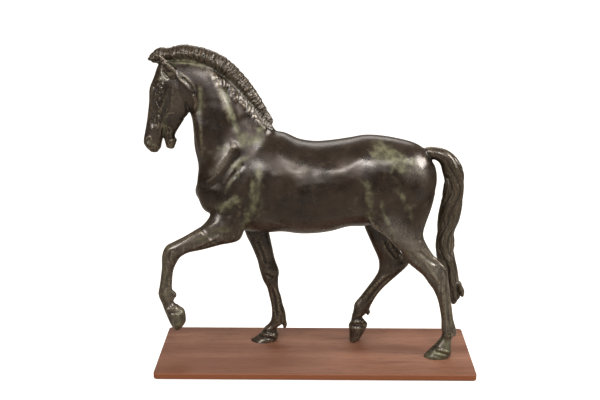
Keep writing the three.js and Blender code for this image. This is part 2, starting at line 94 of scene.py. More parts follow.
MANE = [
    (-49.9, 300.5, -56, 291, 10, 3.5), (-57, 313, -66, 303, 10, 5),
    (-65.2, 328.4, -77, 316, 10, 6.5), (-76.6, 345.8, -91, 331, 10, 7.5),
    (-89.7, 361.2, -103, 344, 10, 8), (-106.7, 376.4, -117, 355, 10, 8.5),
    (-130, 386.4, -132, 364, 10, 9), (-154, 390.5, -151, 369, 10, 9),
    (-172.2, 386.7, -167, 369, 10, 8), (-182.9, 387, -181, 368, 10, 7),
    (-192.6, 379.8, -188, 369.2, 10, 5),
]
EAR = [
    (-172, 352, -160, 354, 1, 4.5), (-176.5, 360, -162.5, 362, -1, 4.5),
    (-178.5, 368, -168.5, 370, -3, 3.5), (-180, 375, -174.5, 376, -4, 2.2),
    (-181, 380, -179, 380.5, -4, 1),
]
NEAR_FORELEG = [
    (-122, 196, -84, 173, -12, 15), (-129, 185.5, -91.5, 159.3, -15, 14.5),
    (-138, 175.5, -114.5, 153.5, -15, 12.5), (-153.5, 165.5, -134.5, 147.5, -14, 10.5),
    (-170, 157, -152, 143.5, -14, 8.5), (-180, 151, -162, 138, -14, 9),
    (-185, 139.5, -166.5, 132, -14, 8.5), (-186, 125, -171, 123, -13, 6.5),
    (-187, 117, -173, 115, -13, 5.5), (-188.5, 107, -174, 105, -13, 5.5),
    (-190, 98.5, -174.5, 98.5, -13, 6.3), (-191.5, 91, -173.5, 92, -13, 7.5),
    (-190.5, 84.5, -171.8, 84.5, -13, 6.8), (-187.8, 78, -173.2, 80, -13, 6.3),
    (-185.3, 70, -169.5, 75, -13, 8), (-182.6, 62.6, -161, 69.5, -13, 10),
    (-180.1, 56, -158.9, 60.8, -13, 11), (-177.2, 49.6, -159.4, 52.8, -13, 10.5),
    (-173, 43.3, -164.4, 45.6, -13, 7),
]
OFF_FORELEG = [
    (-94, 182, -54, 182, 31, 15), (-88, 155, -58, 156.5, 34, 13),
    (-81, 139.5, -54.5, 139.5, 34, 11), (-73.2, 119.5, -50.6, 119.5, 34, 9),
    (-70, 105.5, -45.5, 103.5, 34, 9.5), (-66, 91.5, -46.5, 92.5, 34, 7.5),
    (-61, 81.5, -46, 79.5, 34, 6), (-58.5, 71, -43, 69, 34, 5.5),
    (-56, 59, -41, 59, 34, 5.5), (-55, 49, -38, 49, 34, 6.5),
    (-55.5, 41, -37, 41, 34, 7.5), (-57, 35.5, -37, 35, 34, 7.5),
    (-60, 31, -43.5, 30.5, 34, 7), (-64.5, 27, -49, 26, 34, 7.3),
    (-67, 22.5, -47.5, 20.5, 34, 8.5), (-70.5, 18, -46.5, 16, 34, 10.3),
    (-76, 13.5, -48, 12, 34, 11.3), (-81.5, 9, -50.5, 8.5, 34, 12),
    (-82, 5, -51, 5, 34, 12),
]
NEAR_HINDLEG = [
    (62, 228, 145.3, 230, 1, 12), (60, 206, 143.5, 214.5, -5, 14),
    (62, 190, 138.8, 198.6, -11, 17), (67, 178, 130.3, 174, -16, 16),
    (84, 166.5, 130.6, 162, -17, 14.5), (100, 150, 135, 153.2, -16, 12.5),
    (112, 132, 142, 142, -14, 10.5), (121, 123.5, 150, 132.5, -13, 9),
    (131, 114.5, 159, 123, -12, 8.5), (138.5, 104, 162, 109, -12, 8.5),
    (144.5, 95.5, 164, 96, -12, 7.5), (150, 82.5, 166, 82.5, -12, 6.3),
    (153, 70, 168, 70.5, -12, 5.8), (155, 58, 170, 57.5, -12, 5.8),
    (155.5, 47, 173, 47, -12, 7.2), (156.5, 40, 172.5, 39, -13, 7.8),
    (155, 34, 169, 33.5, -13, 7.3), (151, 28.5, 168, 27, -14, 7.8),
    (146, 23, 168.5, 19.5, -14, 9.8), (140.5, 17, 168.5, 13.5, -14, 11),
    (135.5, 11, 167, 9, -14, 11.8), (135, 5, 166, 5, -14, 11.8),
]
OFF_HINDLEG = [
    (60, 196, 126, 204, 29, 16), (62, 176, 118, 180, 35, 16),
    (60.5, 163, 110.5, 163, 36, 14.5), (71.5, 138, 105.5, 133.5, 35, 11.5),
    (79.5, 119, 115, 121, 35, 9.5), (80, 105.5, 117, 112.2, 34, 9),
    (75, 94.5, 90.5, 86, 34, 7.5), (66, 81.5, 80, 73.5, 34, 6),
    (57.5, 69.5, 72.5, 60.5, 34, 6), (50.5, 60, 69, 52, 34, 7),
    (49, 51, 65, 46.5, 34, 7.2), (47, 43, 60.5, 42, 34, 7),
    (46, 36.5, 63.5, 37, 34, 8.5), (43, 30.5, 67.3, 32, 34, 10.3),
    (44, 23.5, 64.5, 25, 34, 10.8), (44, 14, 59.5, 15.5, 34, 10.5),
    (45, 8.5, 53, 8.5, 34, 8),
]
TAIL = [
    (124, 264, 128, 250, 10, 7), (133, 268.5, 134, 252, 11, 7.5),
    (144, 268.5, 143, 253, 12, 7.5), (159.5, 264, 150, 247.5, 12, 8.5),
    (172, 251.5, 153.5, 238, 12, 9.5), (178.5, 234, 156, 228, 12, 10),
    (178.7, 214, 154.4, 211, 12, 10.5), (177.7, 196, 152.8, 198.5, 12, 11),
    (174.8, 178.5, 150.2, 180.5, 12, 11), (169.6, 163.5, 149.6, 163.5, 12, 10),
    (170.5, 148.5, 148.5, 148.5, 12, 10), (170.6, 133.5, 149.4, 133.5, 12, 9.5),
    (174.2, 118.5, 154, 120.5, 12, 9), (177.2, 103, 159, 103, 12, 8),
    (178.4, 91, 164, 88, 12, 7), (180.8, 80, 169, 73, 12, 5),
]
TUFTS = [
    [(-178, 96, -173, 93, -13, 4), (-175, 90, -169.5, 90, -13, 3.5), (-173, 84.5, -169.5, 86, -13, 1.5)],
    [(-42, 38, -36.5, 36, 34, 4.5), (-41.5, 31, -35.5, 31, 34, 4), (-40.5, 26.5, -37, 26.5, 34, 2)],
    [(167, 48, 173, 48, -12, 4.5), (169, 40, 174.5, 41, -12, 4), (170.5, 35.5, 173.5, 36, -12, 2)],
    [(62, 56, 68, 54, 34, 4.5), (65, 49, 70.5, 49, 34, 4), (66.5, 44, 68.5, 44.5, 34, 1.5)],
    [(172, 98, 180, 98, 10, 5), (178, 86, 185, 88, 9, 4), (182, 79, 185, 81, 9, 1.5)],
    [(164, 92, 174, 94, 13, 6), (167, 77, 178, 77, 13, 5), (171, 67.5, 175, 68.5, 14, 2)],
]

# Muscles of one side: ends in the side view (x, z, x, z), half thickness there, distance of the middle
# from the horse's middle plane, half thickness across.
MUSCLES = [
    (-84, 264, -126, 216, 12, 17, 12),  # front of the shoulder blade
    (-64, 264, -112, 214, 13, 20, 14),  # back of the shoulder blade
    (-72, 236, -92, 184, 20, 20, 19),  # triceps
    (-112, 214, -94, 184, 13, 22, 14),  # point of the shoulder
    (-136, 228, -124, 194, 10, 12, 14),  # breast
    (-139, 316, -126, 240, 9, 9, 13),  # band from the jaw to the breast
    (-120, 342, -98, 272, 16, 9, 12.5),  # side of the neck
    (62, 252, 112, 246, 22, 18, 20),  # croup
    (56, 250, 76, 200, 17, 24, 19),  # front of the thigh
    (114, 242, 94, 190, 26, 17, 23),  # back of the thigh
    (128, 240, 121, 190, 14, 14, 15),  # edge of the buttock
    (40, 250, 58, 258, 9, 25.5, 9),  # point of the hip
    (-40, 226, 40, 222, 44, 14, 33),  # ribs
]

# Edges round the ear, which are both worked and worn lighter, with a painted highlight as well.
EAR_FRONT = (-180, 380, -175, 374, -170.5, 369, -165, 364, -161, 358)
EAR_ROOT = (-163, 361, -159, 353, -153, 348, -148, 343, -143, 339)
EAR_BACK = (-156, 359, -149.5, 353, -142.5, 346, -139.5, 339)

# Strokes worked into the skin, in the side view: width, height (a groove is below 0), then x and z of
# each point. Those of the body are mirrored, and the others are worked on one side alone.
BODY_STROKES = [
    # face
    (2.2, 0.8, -175, 335, -181, 320, -186, 307), (2.0, -0.6, -171, 332, -177, 317, -182, 304),
    (2.4, 0.8, -190, 350, -193, 333, -196, 314, -199, 296),
    (2.0, -0.8, -186, 336, -189, 320, -192, 304, -194, 290),
    (1.8, -0.7, -169, 345, -171, 327, -172, 313),
    (1.6, 0.5, -176, 304, -174, 310, -169, 312, -164, 309),
    (1.5, -1.4, -181.5, 281, -181, 288, -179, 296, -178, 303),
    (1.3, -0.7, -203, 272.5, -197, 271, -190, 270),
    (1.1, 0.8, -201.5, 276, -200, 281, -196.5, 282, -195, 278, -197, 273.5),
    (1.5, 0.7, -187, 341, -184, 345.5, -179.5, 346, -175.5, 343),
    (1.4, 0.5, -186.5, 339.5, -182.5, 336.5, -178.5, 337, -175.5, 341),
    (2.4, 0.5, -188, 347, -184, 351, -178, 350),
    (1.5, 0.4, -176, 331, -178, 323, -181, 314, -179, 305, -182, 297),
    (1.4, 0.5, -178, 292, -174, 295, -171, 290, -172, 284),
    # ear, cheek and throat
    (1.2, 1.0, *EAR_FRONT), (3.0, -1.8, -177.5, 371, -173.5, 364, -169, 358),
    (1.2, 0.6, *EAR_ROOT), (1.4, 0.5, *EAR_BACK),
    (1.6, -0.6, -157, 355, -150, 349, -144, 343),
    (2.0, 1.2, -144.5, 336, -141.5, 332, -140, 326, -141, 320, -144, 313),
    (2.6, -1.3, -135, 341, -134, 330, -135, 320, -137.5, 308),
    (1.6, -1.3, -169, 353, -175, 357, -179, 364),
    (2.6, 0.9, -167, 370, -159, 372, -150, 372.5, -141, 371, -131, 367),
    # neck
    (4.2, 2.2, -130, 370, -122, 361, -115, 350, -110, 338, -105, 324, -101, 306, -98, 292),
    (4.6, -1.8, -112, 352, -104, 333, -98, 315, -94, 300, -92, 286),
    (9.0, 1.0, -96, 336, -89, 320, -82, 304), (2.5, 0.9, -136, 310, -134, 290, -134, 270, -133, 252),
    (4.0, -0.9, -129, 300, -127, 278, -125, 262), (8.0, 0.9, -121, 330, -115, 305, -112, 282),
    # shoulder
    (7.0, 2.6, -89, 284, -97, 273, -105, 261, -115, 249, -127, 234),
    (2.6, 0.6, -103, 258, -110, 249, -118, 240, -130, 230),
    (4.2, -1.5, -77, 278, -96, 257, -106, 244, -116, 232, -132, 220),
    (4.0, 0.6, -79, 268, -91, 255, -98, 246, -107, 234, -114, 226),
    (3.2, -0.9, -82, 257, -91, 247, -99, 235), (4.0, 0.5, -78, 253, -90, 243, -98, 232, -106, 220),
    (1.6, 0.7, -90, 254, -91, 239), (3.4, 0.35, -117, 213, -113, 203, -104, 199),
    (4.4, 1.2, -109, 203, -101, 207, -92, 214), (4.6, -1.5, -107, 194, -98, 197, -90, 206),
    (4.6, -1.9, -68, 250, -73, 234, -77, 219, -82, 204, -84, 189, -84, 177),
    (5.0, 1.1, -61, 252, -66, 233, -68, 215, -73, 200, -77, 186),
    # ribs and belly
    (6.5, 0.9, -47, 254, -44, 240, -44, 224, -40, 206),
    (6.5, 0.8, -26, 256, -22, 242, -22, 226, -18, 206), (6.5, 0.6, -6, 252, -2, 238, -1, 222, 4, 206),
    (6.5, 0.4, 13, 248, 17, 235, 18, 221, 22, 208), (2.4, 0.6, -60, 186, -40, 179, -12, 176, 14, 179),
    # hindquarter
    (5.0, 0.5, 34, 247, 42, 255, 50, 261, 62, 264), (3.0, 0.6, 72, 247, 84, 246, 93, 241, 97, 232),
    (6.0, -0.6, 101, 232, 103, 218, 101, 204), (4.2, 1.5, 58, 238, 62, 218, 65, 204, 65, 189),
    (5.0, -1.3, 46, 238, 53, 221, 56, 206, 57, 193), (4.4, 0.7, 54, 224, 45, 210, 36, 198),
    (3.0, 0.8, 77, 216, 79, 202, 84, 190, 91, 175, 99, 162), (1.4, 0.5, 72, 232, 76, 221),
    (2.5, -1.2, 131, 266, 136, 258, 139, 250), (2.4, 0.8, 127, 264, 132, 256, 135, 249),
]
NEAR_STROKES = [
    (2.2, 1.6, 66, 192, 70, 183, 80, 175, 90, 165, 100, 153, 108, 142),
    (2.4, -2.2, 120, 153, 134, 140, 150, 128), (1.5, 1.2, 140, 141, 151, 131, 159, 122),
    (3.0, -1.2, 112, 152, 119, 140, 128, 130), (1.6, 1.1, 124, 150, 131, 136, 140, 122, 146, 110),
    (1.7, -1.2, 156, 116, 159, 98, 161, 80, 163, 62, 166, 48),
    (1.4, 0.8, 152, 104, 156, 88, 158, 70, 160, 55), (2.0, 1.2, 136, 124, 146, 114, 150, 104),
    (1.5, 1.1, 147, 23, 157, 21, 168, 17), (1.3, -1.1, 145, 20, 156, 17.5, 168, 13.5),
    (1.0, -0.4, 142, 16, 154, 13, 166, 11), (1.4, 0.9, -184, 71, -175, 73, -163, 74),
    (1.3, -1.1, -182, 66, -173, 68.5, -161, 68), (1.6, -1.1, -176, 122, -180, 108, -180.5, 96),
    (1.4, 0.7, -181, 124, -184, 108, -185.5, 96),
    (2.8, -1.1, -108, 178, -118, 171, -138, 160, -156, 151),
    (2.8, -0.5, -104, 187, -115, 186, -128, 180, -142, 171),
    (2.8, 0.3, -100, 180, -112, 179, -126, 173, -140, 165), (2.4, -0.6, -98, 173, -110, 171, -122, 166),
    (2.4, 0.8, -106, 190, -118, 184, -130, 177, -150, 165, -168, 154),
    (1.8, 0.9, -106, 172, -124, 162, -144, 151), (1.6, -1.1, -112, 167, -128, 158, -146, 149),
    (1.6, -0.9, -168, 151, -174, 146, -176, 138, -175, 131),
    (1.6, 0.8, -180, 147, -182, 138, -180, 130),
]
OFF_STROKES = [
    (1.6, -1.2, -55, 86, -51, 70, -49, 52, -46, 41), (1.4, 0.8, -53, 88, -48, 72, -45, 55, -42, 42),
    (1.5, 1.1, -71, 19, -60, 20, -47, 17.5), (1.3, -1.1, -73, 15.5, -61, 16, -47, 14),
    (2.2, -1.2, -74, 150, -66, 132, -60, 112), (1.8, -1.1, -64, 103, -56, 99, -51, 94),
    (2.0, -1.4, 84, 152, 92, 136, 104, 120), (1.8, 1.1, 104, 128, 111, 119, 114, 113),
    (1.6, -1.2, 100, 106, 84, 90, 72, 74, 63, 60), (1.4, 0.8, 94, 106, 80, 92, 67, 76, 58, 62),
    (1.5, 1.1, 45, 36, 54, 38, 65, 36), (1.3, -1.1, 44, 31, 54, 32.5, 65, 30.5),
]

# Swellings and hollows of both sides, in the side view: middle, half sizes, lean in degrees, height.
KNOBS = [
    (-181.5, 343, 8, 6, 20, -0.8),  # eye socket
    (-181, 341.3, 3.8, 2.8, 15, 1.0),  # eye
    (-176, 354, 4, 5, 0, -0.4),  # temple
    (-160, 327, 12, 14, 0, 1.2),  # cheek
    (-198.5, 277.5, 1.9, 2.8, -15, -2.2),  # nostril
    (-197, 270, 5, 4, 0, 0.6),  # upper lip
    (-109, 212, 10, 10, 0, 0.7),  # point of the shoulder
    (-90, 181, 7, 8, 0, 1.4),  # elbow
    (121, 248, 13, 13, 0, -0.5),  # croup
    (72, 187, 8, 11, 0, 1.4),  # stifle
    (44, 226, 13, 18, 0, -0.8),  # flank
    (-58, 251, 11, 9, -20, 0.7),  # behind the shoulder blade
    (-32, 247, 8, 8, -15, 0.7),  # rib
    (-14, 245, 9, 11, -10, -0.5),  # between the ribs
    (20, 248, 15, 7.5, 5, 1.3),  # loin
    (50, 254, 9, 9, 15, -0.3),  # in front of the hip
    (80, 251, 14, 8, 0, 0.6),  # point of the hip
    (-90, 286, 9, 10, 0, -0.7),  # hollow in front of the shoulder blade
]

# Where verdigris has gathered, in the side view: width, amount, then x and z of each point.
VERDIGRIS = [
    (5, 0.9, -107, 338, -103, 326, -98, 312, -93, 298, -89, 284, -84, 278),
    (8, 0.7, -86, 286, -78, 282, -68, 284), (6, 0.8, -66, 292, -63, 279),
    (9, 0.5, -118, 268, -107, 272), (3.5, 1.0, -170, 371, -158, 372, -145, 371, -132, 366),
    (4, 0.8, -134, 340, -134, 326, -136, 309), (5, 0.4, -133, 300, -133, 256),
    (6, 0.45, -182, 357, -175, 352, -168, 352), (4, 0.6, -157, 356, -148, 349, -141, 340),
    (4, 0.6, -176, 309, -179, 298, -179, 285), (7, 0.5, -202, 276, -190, 274),
    (4, 0.9, -90, 256, -91, 240), (4, 0.8, -80, 262, -92, 256, -99, 247),
    (3.5, 0.7, -92, 243, -100, 233, -106, 221), (6, 1.0, -111, 202, -103, 206, -93, 213),
    (7, 0.9, -65, 247, -70, 232, -71, 216, -77, 200, -80, 186, -82, 175), (8, 0.5, -66, 212, -64, 192),
    (12, 0.3, -26, 250, -12, 244), (11, 1.2, 76, 270, 88, 263, 100, 255),
    (7, 0.6, 114, 258, 121, 250), (5, 0.7, 96, 226, 103, 216),
    (5, 0.4, 93, 241, 97, 232), (7, 0.7, 60, 234, 63, 216, 65, 200, 64, 190),
    (3.5, 0.7, 78, 212, 81, 198, 87, 184, 94, 170, 103, 155), (6, 0.5, 110, 204, 114, 192),
    (8, 0.5, 112, 152, 124, 142), (6, 0.6, 138, 128, 146, 112),
    (5, 0.5, 158, 92, 162, 60, 168, 46), (10, 0.9, 140, 14, 152, 14, 164, 22),
    (8, 0.8, 160, 30, 166, 20), (8, 0.8, -78, 12, -62, 18, -50, 18),
    (7, 0.7, -166, 68, -168, 52, -170, 44), (6, 0.5, -180, 120, -182, 96, -180, 84),
    (6, 0.6, -104, 176, -120, 172, -144, 158), (6, 0.4, -66, 80, -50, 60),
    (6, 0.6, 50, 30, 58, 22), (5, 0.5, 100, 110, 86, 92),
]

# Edges that handling has worn lighter, and places lightened as painted highlights and painted light, in the
# same form: the ear, stifle and hock edges are wear with a painted highlight, the neck band, shoulder ridge,
# wisps, croup and gaskin are painted highlights, and the belly, face, cheek and legs get a faint painted
# light.
RUBBED_AND_PAINTED_LIGHT = [
    (0.8, 0.5, *EAR_FRONT), (0.8, 0.4, *EAR_ROOT),
    (0.9, 0.25, *EAR_BACK), (3.0, 0.66, -125, 363, -118, 353, -113, 343, -109, 331, -106, 320),
    (4.6, 0.3, -103, 266, -108, 258, -114, 251, -122, 243),
    (1.0, 0.25, -104, 258, -111, 248, -120, 238, -129, 231),
    (2.6, 0.45, -100, 348, -90, 337, -79, 323, -70, 311, -64, 302, -52, 295),
    (9.0, 0.3, 113, 245, 122, 250, 127, 243),
    (0.8, 0.6, 64, 191, 68, 183, 75, 176, 84, 170, 92, 161, 104, 145),
    (0.8, 0.5, 128, 156, 138, 145, 147, 135, 159, 122), (3.0, 0.3, 112, 152, 122, 146, 130, 138),
    (15, 0.10, -160, 334, -166, 316), (9, 0.10, -186, 340, -190, 312, -196, 284),
    (12, 0.2, -60, 180, -20, 176, 20, 180, 44, 190), (14, 0.34, 94, 178, 112, 158, 128, 142, 142, 124),
    (11, 0.10, -122, 172, -146, 160, -166, 150), (9, 0.08, -178, 130, -181, 100, -174, 66),
    (9, 0.12, 150, 110, 158, 84, 162, 50),
]

# Lines that small pits and lumps are scattered along: how many, how far to each side, size, height.
PITTED = [
    (110, 5.5, 1.7, 0.28, -184, 348, -184, 330, -187, 312, -190, 294),
    (24, 4.0, 1.5, 0.25, -180, 300, -175, 288, -174, 276),
]

# Where the limbs and the neck spring from the body, and the casting is chased smooth: x, y, z, radius.
CHASED = [
    (-112, -14, 180, 26), (-75, 34, 163, 22),
    (-125, -14, 225, 26), (-125, 34, 225, 26),
    (-66, -24, 268, 30), (-66, 44, 268, 30),
    (-94, -22, 246, 26), (-99, -18, 275, 22),
    (-99, 40, 275, 22), (-121, -20, 214, 20),
    (-94, 42, 246, 26), (98, -12, 168, 36),
    (82, 34, 168, 32),
]

# Rows of locks in the mane. Lengths along the crest are in mm from the withers, and heights go from the
# mane's root (0) to its crest (1): first and last place, spacing, half width, lower and upper end, lean
# (how far the upper end lies towards the withers, in mm), height.
MANE_ROWS = [
    (0, 205, 3.2, 1.8, 0.16, 0.75, 2.4, 1.4),
    (1, 203, 4.0, 2.0, 0.42, 1.20, -2.4, 1.0),
    (4, 96, 6.8, 2.6, -0.36, 0.14, 6.5, 1.8),
]
TAIL_LOCKS = 6
TAIL_STRANDS = 17


def curve(points, steps):
    """Points on a smooth curve through the given ones, with steps points to each span."""
    p = np.asarray(points, float)
    p = np.vstack([2 * p[0] - p[1], p, 2 * p[-1] - p[-2]])
    t = np.linspace(0, 1, steps, endpoint=False)[:, None]
    spans = []
    for a, b, c, d in zip(p, p[1:], p[2:], p[3:]):
        spans.append(0.5 * (2 * b + (c - a) * t + (2 * a - 5 * b + 4 * c - d) * t**2
                            + (3 * b - a - 3 * c + d) * t**3))
    return np.vstack([*spans, p[-2:-1]])


def tube(rings):
    """A closed skin through rings that have the same number of points: its points and its faces."""
    sides, last = len(rings[0]), (len(rings) - 1) * len(rings[0])
    faces = [[k + i, k + sides + i, k + sides + (i + 1) % sides, k + (i + 1) % sides]
             for k in range(0, last, sides) for i in range(sides)]
    return np.vstack(rings), [*faces, list(range(sides)), list(range(last, last + sides))[::-1]]


def limb(sections, sides=40, steps=5, taper=0.0, dome=(0.4, 0.4)):
    """A closed skin over the sections. taper above 0 widens the second outline point's side, and dome
    says how far each end bulges, in half thicknesses."""
    rows = curve(sections, steps)
    first = np.stack([rows[:, 0], rows[:, 4], rows[:, 1]], 1)
    second = np.stack([rows[:, 2], rows[:, 4], rows[:, 3]], 1)
    rings = list(zip((first + second) / 2, (first - second) / 2, np.maximum(rows[:, 5], 0.5)))

    def cap(end, inner, height):
        outward = (end[0] - inner[0]) / np.linalg.norm(end[0] - inner[0])
        reach = height * min(np.linalg.norm(end[1]), end[2])
        return [(end[0] + outward * reach * math.sin(a), end[1] * math.cos(a), end[2] * math.cos(a))
                for a in np.radians([25, 50, 75])]

    angle = np.linspace(0, 2 * np.pi, sides, endpoint=False)
    loops = []
    for middle, reach, width in [*cap(rings[0], rings[1], dome[0])[::-1], *rings,
                                 *cap(rings[-1], rings[-2], dome[1])]:
        loop = middle + np.outer(np.cos(angle), reach)
        loop[:, 1] += width * np.sin(angle) * (1 - taper * np.cos(angle))
        loops.append(loop)
    return tube(loops)


def muscle(x1, z1, x2, z2, thick, offset, deep, side):
    """An ellipsoid along a line in the side view, on one side of the horse (-1 near, 1 off)."""
    middle = np.array([(x1 + x2) / 2, MID + side * offset, (z1 + z2) / 2])
    along = np.array([x2 - x1, 0, z2 - z1]) / 2
    length = np.linalg.norm(along) + thick * 0.6
    along = along / np.linalg.norm(along)
    over = np.array([-along[2], 0, along[0]])
    turn = np.linspace(0, 2 * np.pi, 24, endpoint=False)
    loops = []
    for a in np.linspace(0.06, np.pi - 0.06, 14):
        loop = (middle + along * length * math.cos(a)
                + np.outer(np.cos(turn) * thick * math.sin(a), over))
        loop[:, 1] += np.sin(turn) * deep * math.sin(a)
        loops.append(loop)
    return tube(loops)


def mirrored(sections):
    """The same sections on the other side of the horse's middle plane."""
    return [(*s[:4], 2 * MID - s[4], s[5]) for s in sections]


# ---- clay

def link(name, data, place=(0, 0, 0), turn=None):
    """An object in the scene that shows the data."""
    thing = bpy.data.objects.new(name, data)
    bpy.context.scene.collection.objects.link(thing)
    thing.location = place
    if turn is not None:
        thing.rotation_euler = turn.to_euler()
    return thing


def clay(shapes, voxel):
    """Joins closed shapes into one skin of square faces: its points and its faces."""
    verts, faces, start = [], [], 0
    for v, f in shapes:
        verts.append(v)
        faces += [[int(i) + start for i in face] for face in f]
        start += len(v)
    mesh = bpy.data.meshes.new("clay")
    mesh.from_pydata(np.vstack(verts).tolist(), [], faces)
    body = link("clay", mesh)
    remesh = body.modifiers.new("remesh", "REMESH")
    remesh.mode = "VOXEL"
    remesh.voxel_size = voxel
    seen = body.evaluated_get(bpy.context.evaluated_depsgraph_get())
    out = seen.to_mesh()
    points = np.empty(len(out.vertices) * 3, np.float32)
    out.vertices.foreach_get("co", points)
    loops = np.empty(len(out.loops), np.int32)
    out.loops.foreach_get("vertex_index", loops)
    if len(loops) != 4 * len(out.polygons):
        raise ValueError("the remeshed clay isn't all squares")
    seen.to_mesh_clear()
    bpy.data.objects.remove(body)
    bpy.data.meshes.remove(mesh)
    return points.reshape(-1, 3).astype(float), loops.reshape(-1, 4)


def neighbour_mean(values, faces):
    """The mean of each point's neighbours, for an array with one row to a point."""
    a = faces.ravel()
    b = np.roll(faces, -1, axis=1).ravel()
    count = np.bincount(b, minlength=len(values))
    columns = values.reshape(len(values), -1)
    sums = [np.bincount(b, weights=columns[a, k], minlength=len(values)) for k in range(columns.shape[1])]
    return (np.stack(sums, 1) / np.maximum(count, 1)[:, None]).reshape(values.shape)


def smoothed(verts, faces, rounds):
    """Evens out a skin without shrinking it: each round pulls the points in and pushes them back."""
    for _ in range(rounds):
        for pull in (0.55, -0.57):
            verts = verts + pull * (neighbour_mean(verts, faces) - verts)
    return verts


def normals(verts, faces):
    """The outward direction at each point."""
    diagonal = np.cross(verts[faces[:, 2]] - verts[faces[:, 0]], verts[faces[:, 3]] - verts[faces[:, 1]])
    out = np.zeros_like(verts)
    for k in range(4):
        for axis in range(3):
            out[:, axis] += np.bincount(faces[:, k], weights=diagonal[:, axis], minlength=len(verts))
    return out / np.maximum(np.linalg.norm(out, axis=1), 1e-12)[:, None]


def ramp(value, low, high):
    """0 below low, 1 above high, and a smooth rise between."""
    t = np.clip((value - low) / (high - low), 0, 1)
    return t * t * (3 - 2 * t)


def model_horse():
    """The horse's skin before the strokes."""
    soft = [limb(BARREL), limb(NECK, taper=-0.15), limb(NEAR_FORELEG[:4]), limb(OFF_FORELEG[:3]),
            limb(NEAR_HINDLEG[:6]), limb(OFF_HINDLEG[:4])]
    for side in (-1, 1):
        soft += [muscle(*m, side) for m in MUSCLES]
    verts, faces = clay(soft, SOFT_VOXEL)
    verts = smoothed(verts, faces, 24)
    turned = ramp(np.abs(normals(verts, faces)[:, 1]), 0.2, 0.7)
    for _ in range(FLANK_ROUNDS):
        verts[:, 1] += 0.5 * turned * (neighbour_mean(verts[:, 1], faces) - verts[:, 1])
    hard = [(verts, faces.tolist()), limb(HEAD, taper=0.1), limb(LOWER_JAW), limb(MANE, dome=(0.3, 0.8)),
            limb(EAR), limb(mirrored(EAR)), limb(NEAR_FORELEG[2:], dome=(0.4, 0.2)), limb(OFF_FORELEG[1:]),
            limb(NEAR_HINDLEG[4:]), limb(OFF_HINDLEG[2:]), limb(TAIL), *(limb(tuft, 16) for tuft in TUFTS)]
    verts, faces = clay(hard, FINE_VOXEL)
    return chase(smoothed(verts, faces, 4), faces, 60), faces


# ---- working the skin

def facing(verts, shade, side, both_faces=False):
    """How fully a stroke on one side (-1 near, 1 off) takes hold of each point, from 0 to 1."""
    outward = np.abs(shade[:, 1]) if both_faces else shade[:, 1] * side
    return ((verts[:, 1] - MID) * side > -1) * ramp(outward, 0.1, 0.45)


def side_line(points):
    """A smooth line in the side view, from x and z of each of its points."""
    return curve(np.reshape(points, (-1, 2)), 24)


def near_line(verts, points, reach):
    """The points within reach of a smooth line in the side view: their numbers, how far off the line
    they are, and how far along it from 0 to 1."""
    line = side_line(points)
    low, high = line.min(0) - reach, line.max(0) + reach
    inside = np.flatnonzero((verts[:, 0] > low[0]) & (verts[:, 0] < high[0])
                            & (verts[:, 2] > low[1]) & (verts[:, 2] < high[1]))
    gap = np.full(len(inside), np.inf)
    along = np.zeros(len(inside))
    for k, (x, z) in enumerate(line):
        here = np.hypot(verts[inside, 0] - x, verts[inside, 2] - z)
        closer = here < gap
        gap[closer] = here[closer]
        along[closer] = k / (len(line) - 1)
    return inside, gap, along


def stroke(amount, verts, weight, width, height, points):
    """Adds a stroke with soft sides and ends to the amount by which each point is to move."""
    inside, gap, along = near_line(verts, points, 2.5 * width)
    ends = ramp(along, 0, 0.3) * ramp(1 - along, 0, 0.3)
    ends *= (3 - 2 * ends) * ends
    amount[inside] += height * np.exp(-(gap / width) ** 2) * ends * weight[inside]


def lump(verts, x, z, half_x, half_z, lean):
    """A leaning oval in the side view: 1 at its middle, and towards 0 outside."""
    c, s = math.cos(lean), math.sin(lean)
    dx, dz = verts[:, 0] - x, verts[:, 2] - z
    return np.exp(-((dx * c + dz * s) / half_x) ** 2 - ((dz * c - dx * s) / half_z) ** 2)


def knob(amount, verts, weight, x, z, half_x, half_z, lean, height):
    """Adds a round swelling or hollow."""
    amount += height * lump(verts, x, z, half_x, half_z, math.radians(lean)) * weight


def pit(amount, verts, weight, rng, count, spread, size, height, points):
    """Scatters small pits and lumps along a line in the side view."""
    inside, gap, _ = near_line(verts, points, spread + 3 * size)
    line = side_line(points)
    for _ in range(count):
        x, z = line[rng.integers(len(line))] + rng.uniform(-spread, spread, 2)
        long_, wide = size * rng.uniform(0.8, 1.8), size * rng.uniform(0.5, 0.9)
        shape = lump(verts[inside], x, z, long_, wide, math.radians(rng.uniform(50, 120)))
        amount[inside] += height * rng.choice((-1, 1)) * shape * weight[inside] * ramp(spread + 3 - gap, 0, 3)


def chase(verts, faces, rounds):
    """Smooths the places where the limbs and the neck spring from the body."""
    hold = np.zeros(len(verts))
    for x, y, z, radius in CHASED:
        apart = np.linalg.norm(verts - (x, y, z), axis=1)
        hold = np.maximum(hold, ramp(radius - apart, 0, 0.5 * radius))
    for _ in range(rounds):
        verts = verts + 0.5 * hold[:, None] * (neighbour_mean(verts, faces) - verts)
    return verts


def lock_shape(phase):
    """Round locks with sharp valleys between them: one lock to each whole number of phase."""
    across = 2 * (phase - np.floor(phase)) - 1
    return np.sqrt(1 - across**2 * 0.96) - 0.7


